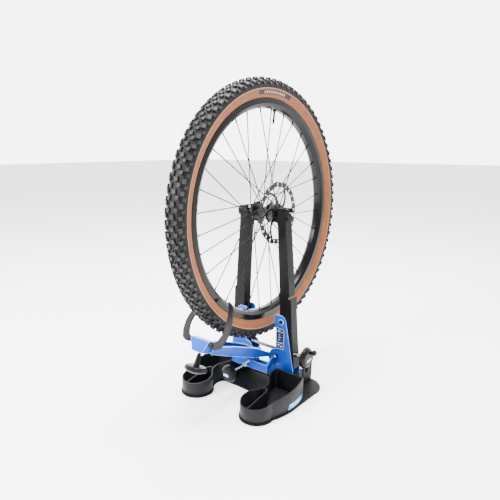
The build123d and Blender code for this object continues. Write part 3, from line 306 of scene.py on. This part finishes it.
# paler blue for the bevelled and rolled edges of the blue parts: a painted highlight
BLUE_EDGE_HIGHLIGHT = speckled("blue_edge_painted_highlight", (0.20, 0.46, 0.90), (0.36, 0.62, 0.98), (0.2, 0.32), 900.0,
                     0.00004, coat=0.3, edge=0.0)
LABEL = speckled("navy_label", (0.0022, 0.004, 0.028), (0.004, 0.009, 0.055), (0.22, 0.34), 500.0,
                 0.00002, coat=0.3)
BADGE = speckled("blue_badge", (0.006, 0.115, 0.30), (0.012, 0.17, 0.42), (0.22, 0.34), 500.0,
                 0.00002, coat=0.3)
TRAY_BADGE = lettered("tray_badge_print", (0.010, 0.20, 0.46), (0.85, 0.92, 0.96),
                      (-112 * MM, -54 * MM), (11.8 * MM, 20.8 * MM), 0.45,
                      (7.5 * MM, 12.5 * MM))
PALE_PRINT = speckled("pale_print", (0.60, 0.74, 0.90), (0.80, 0.90, 1.0), (0.25, 0.4), 700.0,
                      0.00002)

FINISH = {
    BLUE: ["front_plate", "rear_plate", "arm_ears", "height_bush", "calliper_arm"],
    BLUE_WITH_PAINTED_LIGHT: ["calliper_bracket"],
    CALLIPER: ["calliper_right", "calliper_left"],
    UPRIGHT: ["upright_right", "upright_left", "upright_cover_right", "upright_cover_left"],
    PLATE: ["base_plate", "tilt_posts", "tilt_cradle", "dropout_right", "dropout_left"],
    TRAY: ["tray_right", "tray_left"],
    KNOB: ["lead_knob", "calliper_knob", "height_knob"],
    GRIP: ["crank_grip"],
    RIM: ["rim"],
    HUB_BLACK: ["hub_shell", "hub_bearings"],
    STEEL: ["plate_spacers", "arm_pin", "calliper_shaft", "height_collar", "axle_rod"],
    HEIGHT_THREAD: ["height_screw"],
    LEAD_THREAD: ["lead_screw"],
    DARK_STEEL: ["tray_screws", "tilt_bolts", "pivot_bolts", "screw_stop", "screw_supports",
                 "spacer_bolts", "screw_nut_right", "screw_nut_left"],
    ROTOR: ["brake_rotor", "rotor_bolts"],
    SPOKE: ["spokes_right", "spokes_left", "spoke_nipples", "valve_stem"],
    RUBBER: ["tyre"],
    REST: ["cradle_rests"],
    LABEL: ["plate_labels"],
    TRAY_BADGE: ["tray_badges"],
    BADGE: ["lead_knob_badge", "height_knob_badge"],
}
for finish, names in FINISH.items():
    for name in names:
        node = NODES[name]
        for index in range(len(node.material_slots)):
            node.material_slots[index].material = finish


def pale_edges(name, finish):
    """A narrow bevel along the sharp edges of a CAD node, in a paler finish that paints a highlight
    along them.
    """
    node = NODES[name]
    node.data.materials.append(finish)
    weld = node.modifiers.new("joined_faces", "WELD")
    weld.merge_threshold = WELD_REACH
    bevel = node.modifiers.new("highlight_edges", "BEVEL")
    bevel.width = EDGE_WIDTH
    bevel.segments = 2
    bevel.limit_method = "ANGLE"
    bevel.angle_limit = EDGE_ANGLE
    bevel.material = len(node.data.materials) - 1
    bevel.use_clamp_overlap = True


# the tray rims and the blue parts get pale bevels: painted highlights on their edges
for name in ("tray_right", "tray_left"):
    pale_edges(name, TRAY_EDGE_HIGHLIGHT)
for name in ("calliper_bracket", "calliper_arm", "front_plate"):
    pale_edges(name, BLUE_EDGE_HIGHLIGHT)
for name in ("spokes_right", "spokes_left"):
    swell = NODES[name].modifiers.new("full_gauge", "DISPLACE")
    swell.strength = SPOKE_SWELL
    swell.mid_level = 0.0


# ---------------------------------------------------------------- mesh helpers
def piece(name, verts, faces, mats, body, smooth=True, face_mats=None):
    """A mesh object in the row frame that rides on a CAD body."""
    mesh = bpy.data.meshes.new(name)
    mesh.from_pydata([tuple(v) for v in verts], [], faces)
    for mat in mats:
        mesh.materials.append(mat)
    if face_mats:
        mesh.polygons.foreach_set("material_index", face_mats)
    mesh.polygons.foreach_set("use_smooth", [smooth] * len(mesh.polygons))
    mesh.validate()
    made = bpy.data.objects.new(name, mesh)
    bpy.context.collection.objects.link(made)
    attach(made, body)
    return made


def axes_along(direction):
    """Two unit vectors square to a direction, and the direction itself."""
    along = Vector(direction).normalized()
    side = along.cross(Vector((0, 0, 1)))
    if side.length < 0.1:
        side = along.cross(Vector((1, 0, 0)))
    side.normalize()
    return side, along.cross(side), along


def lathe(profile, direction, centre, turns):
    """Vertices and faces of a turned surface: profile is (radius, height) along direction."""
    side, other, along = axes_along(direction)
    verts, faces = [], []
    rows = len(profile)
    for step in range(turns):
        angle = tau * step / turns
        out = side * cos(angle) + other * sin(angle)
        for radius, height in profile:
            verts.append(Vector(centre) + out * radius + along * height)
    for step in range(turns):
        here, there = step * rows, ((step + 1) % turns) * rows
        for row in range(rows - 1):
            faces.append((here + row, here + row + 1, there + row + 1, there + row))
    return verts, faces


def on_wheel(radius, angle, x):
    """A point of the wheel: angle from the top, towards the front."""
    return Vector((x, -radius * sin(angle), HUB.z + radius * cos(angle)))


# ---------------------------------------------------------------- tyre
CASING = [  # half section from the rim lip to the crown: (radius, x)
    (0.3168, 0.0157), (0.3182, 0.0172), (0.3200, 0.0186), (0.3222, 0.0199), (0.3226, 0.0208),
    (0.3234, 0.0209), (0.3265, 0.0228), (0.3300, 0.0246), (0.3345, 0.0262), (0.3390, 0.0273),
    (0.3425, 0.0278), (0.3432, 0.0283), (0.3470, 0.0284), (0.3520, 0.0277), (0.3565, 0.0257),
    (0.3605, 0.0222), (0.3640, 0.0172), (0.3662, 0.0115), (0.3675, 0.0055), (0.3679, 0.0),
]
TAN_ROWS = 10  # rows of faces, from the rim, that are skinwall
TREAD_FROM = 11  # first point of CASING that the blocks stand on
casing = CASING + [(r, -x) for r, x in reversed(CASING[:-1])]
verts, faces = lathe(casing, (1, 0, 0), HUB, turns=360)
row_count = len(casing) - 1
face_mats = []
for index in range(len(faces)):
    row = index % row_count
    near_rim = min(row, row_count - 1 - row)
    face_mats.append(1 if near_rim < TAN_ROWS else 0)
casing_piece = piece("tyre_casing", verts, faces, [RUBBER, TAN], "wheel", face_mats=face_mats)
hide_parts("tyre")


def casing_at(x):
    """Radius of the casing and its outward normal (radial, sideways) at x, for the tread half."""
    half = [(abs(px), r) for r, px in CASING[TREAD_FROM:]]
    for (x1, r1), (x0, r0) in zip(half, half[1:]):
        if x0 <= abs(x) <= x1:
            t = (abs(x) - x0) / (x1 - x0)
            slope = Vector((r1 - r0, x1 - x0)).normalized()
            normal = Vector((slope.y, -slope.x))
            return r0 + t * (r1 - r0), normal
    return half[0][1], Vector((0.0, 1.0))


KNOB_RINGS = ((1.0, -0.0006), (0.97, 0.45), (0.93, 0.86), (0.83, 1.0))  # scale, share of height
KNOB_ROOT = 0.8 * MM  # depth of a block's foot in the casing


def knob(verts, faces, x, angle, wide, length, high, twist, lean, bite):
    """One tread block standing on the casing, with sloped walls and a softened top."""
    radius, normal = casing_at(x)
    side = 1 if x >= 0 else -1
    radial, outward = (normal.x, normal.y * side) if lean is None else (cos(lean), sin(lean) * side)
    e_radial = Vector((0, -sin(angle), cos(angle)))
    e_round = Vector((0, -cos(angle), -sin(angle)))
    up = e_radial * radial + Vector((1, 0, 0)) * outward
    across = e_round.cross(up).normalized()
    foot = on_wheel(radius, angle, x) - up * KNOB_ROOT
    corners = [(-0.5, -0.5), (-0.12, -0.5 + bite), (0.12, -0.5 + bite), (0.5, -0.5),
               (0.5, 0.5), (0.12, 0.5), (-0.12, 0.5), (-0.5, 0.5)]
    start = len(verts)
    for scale, level in KNOB_RINGS:
        lift = (high + KNOB_ROOT) * level
        for u, v in corners:
            du, dv = u * wide * scale, v * length * scale
            across_shift = du * cos(twist) - dv * sin(twist)
            round_shift = du * sin(twist) + dv * cos(twist)
            verts.append(foot + across * across_shift + e_round * round_shift + up * lift)
    count = len(corners)
    for ring in range(len(KNOB_RINGS) - 1):
        for k in range(count):
            nxt = (k + 1) % count
            a = start + ring * count
            faces.append((a + k, a + nxt, a + count + nxt, a + count + k))
    top = start + (len(KNOB_RINGS) - 1) * count
    faces.append(tuple(top + k for k in range(count)))


PITCHES = 80
SIDE_SHIFT = 0.5  # the left half of the tread trails the right one by this share of a pitch
TREAD_BLOCKS = (
    # x, share of pitch, width, lengths on even and odd pitches, height, twist, lean, bite
    (0.0062, 0.00, 0.0098, (0.0125, 0.0125), 0.0050, 0.16, None, 0.16),
    (0.0152, 0.46, 0.0084, (0.0105, 0.0105), 0.0052, -0.24, None, 0.12),
    # shoulder blocks, their outer wall runs down the sidewall
    (0.0236, 0.10, 0.0094, (0.0150, 0.0125), 0.0054, 0.10, 0.62, 0.20),
    (0.0268, 0.60, 0.0078, (0.0095, 0.0095), 0.0028, 0.00, 1.05, 0.00),
)
tread_verts, tread_faces = [], []
step = tau / PITCHES
for pitch in range(PITCHES):
    for side in BOTH:
        start = tau * pitch / PITCHES + (0.0 if side > 0 else step * SIDE_SHIFT)
        for x, share, wide, lengths, high, twist, lean, bite in TREAD_BLOCKS:
            knob(tread_verts, tread_faces, side * x, start + step * share, wide,
                 lengths[pitch % 2], high, side * twist, lean, bite)
# each block has eight walls a ring and one top; the last ring and the top are a lighter grey
WALLS = 8
SIDES_PER_KNOB = WALLS * (len(KNOB_RINGS) - 1)
knob_mats = [0 if face % (SIDES_PER_KNOB + 1) < SIDES_PER_KNOB - WALLS else 1
             for face in range(len(tread_faces))]
tread = piece("tyre_knobs", tread_verts, tread_faces, [RUBBER, BLOCK_TOP], "wheel", smooth=False,
              face_mats=knob_mats)
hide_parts("tyre")


# ---------------------------------------------------------------- brake rotor
ROTOR_MID, ROTOR_THICK = 45.0 * MM, 1.8 * MM
BAND = (75 * MM, 78 * MM, 80.5 * MM, 83.5 * MM, 86 * MM, 89 * MM)  # radii that bound its five rows
BAND_STEPS, WAVES, WAVE_DEPTH = 240, 12, 1.0 * MM
INNER_WAVE = 0.4  # share of the wave that reaches the radii between the two edges
HOLE_ROWS, HOLE_STEPS, HOLE_PITCH = (1, 2, 3), 3, 10  # rows left open, steps open in each pitch
# the centre ring and the arms: lengths in millimetres, turns in degrees
RING_STEPS, ARMS, ARM_STEPS = 96, 6, 14
BORE_R, SPIDER_R, SPIDER_LOBE = 17.2, 27.0, 1.6
ARM_ROOT_R, ARM_REACH, ARM_HALF_W, ARM_WAIST = 27.5, 47.6, 5.6, 1.6
ARM_ROOT_TURN, ARM_SWEEP, SWEEP_POWER = 4, 34, 1.3


def rotor_band(verts, faces):
    """Braking band: wavy inner and outer edges, with a row of vent holes cut through."""
    start, rows = len(verts), len(BAND)
    for step in range(BAND_STEPS):
        angle = tau * step / BAND_STEPS
        wave = WAVE_DEPTH * sin(WAVES * angle)
        for row, radius in enumerate(BAND):
            share = 1.0 if row in (0, rows - 1) else INNER_WAVE
            verts.append(on_wheel(radius + wave * share, angle, ROTOR_MID))
    for step in range(BAND_STEPS):
        here, there = start + step * rows, start + (step + 1) % BAND_STEPS * rows
        for row in range(rows - 1):
            is_hole = row in HOLE_ROWS and step % HOLE_PITCH < HOLE_STEPS
            if not is_hole:
                faces.append((here + row, here + row + 1, there + row + 1, there + row))


def rotor_spider(verts, faces):
    """Centre ring over the six bolts, and six arms swept back to the braking band."""
    start = len(verts)
    for step in range(RING_STEPS):
        angle = tau * step / RING_STEPS
        for radius in (BORE_R * MM, (SPIDER_R + SPIDER_LOBE * cos(ARMS * angle)) * MM):
            verts.append(on_wheel(radius, angle, ROTOR_MID))
    for step in range(RING_STEPS):
        here, there = start + 2 * step, start + 2 * ((step + 1) % RING_STEPS)
        faces.append((here, here + 1, there + 1, there))
    for arm in range(ARMS):
        start = len(verts)
        for step in range(ARM_STEPS + 1):
            t = step / ARM_STEPS
            radius = (ARM_ROOT_R + ARM_REACH * t) * MM
            angle = tau * arm / ARMS + radians(ARM_ROOT_TURN + ARM_SWEEP * t ** SWEEP_POWER)
            half = (ARM_HALF_W - ARM_WAIST * sin(pi * t)) * MM / radius
            verts += [on_wheel(radius, angle + edge * half, ROTOR_MID) for edge in (-1, 1)]
        for step in range(ARM_STEPS):
            a = start + 2 * step
            faces.append((a, a + 2, a + 3, a + 1))


rotor_verts, rotor_faces = [], []
rotor_band(rotor_verts, rotor_faces)
rotor_spider(rotor_verts, rotor_faces)
rotor = piece("rotor_disc", rotor_verts, rotor_faces, [ROTOR], "wheel", smooth=False)
plate = rotor.modifiers.new("plate", "SOLIDIFY")
plate.thickness = ROTOR_THICK
plate.offset = 0.0
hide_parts("brake_rotor")


# ---------------------------------------------------------------- prints, caps and beads
def pill(across, up, wide, high, corner=None, lean=0.0):
    """Outline in metres of a bar with rounded ends in a printing plane, sizes in millimetres."""
    radius = min(wide, high) / 2 if corner is None else corner
    outline = []
    for quarter, (sx, sy) in enumerate(((1, 1), (-1, 1), (-1, -1), (1, -1))):
        for k in range(7):
            a = tau * (quarter + k / 6) / 4
            x = sx * (wide / 2 - radius) + radius * cos(a)
            y = sy * (high / 2 - radius) + radius * sin(a)
            x += lean * y
            outline.append(((across + x) * MM, (up + y) * MM))
    return outline


def prints(name, outlines, origin, right, up, body, mat, thick=0.25 * MM):
    """Thin raised marks: each outline becomes a low block with a softened top edge."""
    right, up, origin = Vector(right).normalized(), Vector(up).normalized(), Vector(origin)
    out = right.cross(up)
    verts, faces = [], []
    for outline in outlines:
        start, count = len(verts), len(outline)
        middle = Vector((sum(p[0] for p in outline), sum(p[1] for p in outline))) / count
        for shrink, lift in ((1.0, -0.1 * MM), (1.0, thick * 0.7), (0.97, thick)):
            for u, v in outline:
                uu = middle.x + (u - middle.x) * shrink
                vv = middle.y + (v - middle.y) * shrink
                verts.append(origin + right * uu + up * vv + out * lift)
        for ring in range(2):
            for k in range(count):
                a, b = start + ring * count + k, start + ring * count + (k + 1) % count
                faces.append((a, b, b + count, a + count))
        faces.append(tuple(start + 2 * count + k for k in range(count)))
        faces.append(tuple(start + k for k in reversed(range(count))))
    return piece(name, verts, faces, [mat], body, smooth=False)


def cap(name, places, direction, profile, body, mat):
    """Turned caps, rivets and washers at several places, as one piece."""
    verts, faces = [], []
    for place in places:
        ring_verts, ring_faces = lathe(profile, direction, place, turns=32)
        shift = len(verts)
        verts += ring_verts
        faces += [tuple(v + shift for v in face) for face in ring_faces]
    return piece(name, verts, faces, [mat], body)


def dome(radius, high, sink=0.4 * MM):
    """Profile of a low domed head, from the foot to the crown."""
    crown = [(radius * cos(tau * k / 24), high * (0.3 + 0.7 * sin(tau * k / 24))) for k in range(7)]
    return [(radius, -sink)] + crown[:-1] + [(0.02 * MM, high)]


def bead(name, paths, radius, body, mat, sides=10):
    """Round beads along open paths, with mitred corners and closed ends."""
    verts, faces = [], []
    for path in paths:
        points = [Vector(p) for p in path]
        start = len(verts)
        for k, point in enumerate(points):
            before, after = points[max(k - 1, 0)], points[min(k + 1, len(points) - 1)]
            side, other, _ = axes_along(after - before)
            for n in range(sides):
                a = tau * n / sides
                verts.append(point + side * radius * cos(a) + other * radius * sin(a))
        for k in range(len(points) - 1):
            for n in range(sides):
                a, b = start + k * sides + n, start + k * sides + (n + 1) % sides
                faces.append((a, b, b + sides, a + sides))
        faces.append(tuple(start + n for n in reversed(range(sides))))
        faces.append(tuple(len(verts) - sides + n for n in range(sides)))
    return piece(name, verts, faces, [mat], body)


def mm(x, y, z):
    """A point given in millimetres."""
    return Vector((x, y, z)) * MM


LABEL_FRONT = -20.6
LABEL_MIDDLE_X, LABEL_MIDDLE_Z = 73.2, 158
LABEL_BORDER = [  # (x, z) around a label, just inside its edge
    (59.6, 125.2), (84.0, 125.2), (86.6, 128.0), (86.8, 160), (86.6, 184.6), (84.0, 188.2),
    (60.6, 191.4), (59.6, 190.6), (59.6, 125.2),
]
LABEL_MARKS = [  # bars and dots that stand for the printing, from the label's middle
    pill(-1, 21, 21, 0.8), pill(-1, -13, 21, 0.8), pill(-4, 26, 9, 1.6),
    pill(-3.5, 12, 5, 1.5), pill(-1.5, 4, 9, 1.5), pill(-3, -4, 6, 1.5),
    pill(-5, -20, 5, 5), pill(4, -24, 6, 3),
]
for side, tag in zip(BOTH, ("right", "left")):
    middle = mm(side * LABEL_MIDDLE_X, LABEL_FRONT, LABEL_MIDDLE_Z)
    prints(f"label_marks_{tag}", LABEL_MARKS, middle, (1, 0, 0), (0, 0, 1), "stand", PALE_PRINT)
    border = [mm(side * x, LABEL_FRONT, z) for x, z in LABEL_BORDER]
    bead(f"label_border_{tag}", [border], 0.4 * MM, "stand", PALE_PRINT, 6)

BADGE_TURN = radians(12)
prints("lead_knob_marks",
       [pill(-8 + 4.4 * k, 0, 2.6, 4.6, corner=0.8, lean=0.25) for k in range(5)],
       mm(162.8, 0, 107), (0, cos(BADGE_TURN), sin(BADGE_TURN)),
       (0, -sin(BADGE_TURN), cos(BADGE_TURN)), "lead_turn", PALE_PRINT)
prints("height_knob_marks",
       [pill(-6 + 4 * k, 0, 2.2, 4.4, corner=0.7, lean=0.2) for k in range(4)],
       mm(0, -182.8, 82), (1, 0, 0), (0, 0, 1), "height_turn", PALE_PRINT)

cap("spacer_bolt_caps", [mm(side * 58, -25.6, 97) for side in BOTH], (0, -1, 0),
    dome(5.8 * MM, 2.2 * MM), "stand", STEEL)
cap("plate_rivets", [mm(side * 66, -20, 75) for side in BOTH], (0, -1, 0),
    dome(2.6 * MM, 1.3 * MM), "stand", STEEL)
for side, tag in zip(BOTH, ("right", "left")):
    cap(f"cover_rivets_{tag}", [mm(side * 119.4, -10, 118), mm(side * 119.9, 8, 103)],
        (side, 0, 0), dome(2.3 * MM, 1.3 * MM, 1.5 * MM), "upright_" + tag[0], STEEL)

ARM_CHEEK_X = 28
ARM_TOP = [(-226, 193), (-171, 174), (-143, 162), (-103, 146), (-68, 130), (-33, 109), (-8, 96)]
# rolled top edges of the arm cheeks, in the pale blue of a painted highlight
bead("arm_rolled_edges_highlight",
     [[mm(side * ARM_CHEEK_X, y, z - 0.6) for y, z in ARM_TOP] for side in BOTH],
     1.9 * MM, "arm", BLUE_EDGE_HIGHLIGHT)


# ---------------------------------------------------------------- stage, light and camera
def studio():
    """Pale floor, soft light from the front left and above, white surroundings."""
    bpy.ops.mesh.primitive_plane_add(size=FLOOR_SIZE, location=(0, 0, -FLOOR_DROP))
    floor = bpy.context.object
    floor.name = "floor"
    mat = material("studio_floor", (0.95, 0.955, 0.96), 0.8, spec=0.05)
    tree = Tree(mat)
    tree.link(tree.ramp(tree.noise(1.5), [(0.3, (0.945, 0.95, 0.955)), (0.7, (0.96, 0.965, 0.97))]),
              tree.bsdf.inputs["Base Color"])
    floor.data.materials.append(mat)

    world = bpy.data.worlds.new("studio")
    bpy.context.scene.world = world
    world.use_nodes = True
    nodes, links = world.node_tree.nodes, world.node_tree.links
    away = nodes.new("ShaderNodeVectorMath")
    away.operation = "DOT_PRODUCT"
    away.inputs[1].default_value = BACKDROP
    links.new(nodes.new("ShaderNodeTexCoord").outputs["Generated"], away.inputs[0])
    wash = nodes.new("ShaderNodeMapRange")
    wash.interpolation_type = "SMOOTHSTEP"
    for socket, value in (("From Min", 0.0), ("From Max", 0.75), ("To Min", WORLD_DIM),
                          ("To Max", WORLD_BRIGHT)):
        wash.inputs[socket].default_value = value
    links.new(away.outputs["Value"], wash.inputs["Value"])
    nodes["Background"].inputs["Color"].default_value = (1, 1, 1, 1)
    links.new(wash.outputs["Result"], nodes["Background"].inputs["Strength"])

    for name, place, size, power in LIGHTS:
        data = bpy.data.lights.new(name, "AREA")
        data.shape = "DISK"
        data.size = size
        data.energy = power
        lamp = bpy.data.objects.new(name, data)
        lamp.location = place
        aim = Vector(LIGHT_TARGET) - Vector(place)
        lamp.rotation_euler = aim.to_track_quat("-Z", "Y").to_euler()
        bpy.context.collection.objects.link(lamp)


def camera():
    """From the right of the front, looking slightly down."""
    across, up = CAMERA_ACROSS, CAMERA_UP
    back = Vector((sin(across) * cos(up), -cos(across) * cos(up), sin(up)))
    right = Vector((cos(across), sin(across), 0))
    over = back.cross(right)
    data = bpy.data.cameras.new("camera")
    data.lens = CAMERA_LENS
    data.sensor_width = CAMERA_SENSOR
    made = bpy.data.objects.new("camera", data)
    rotation = Matrix((right, over, back)).transposed()
    made.matrix_world = Matrix.Translation(CAMERA_PLACE) @ rotation.to_4x4()
    bpy.context.collection.objects.link(made)
    bpy.context.scene.camera = made


studio()
camera()
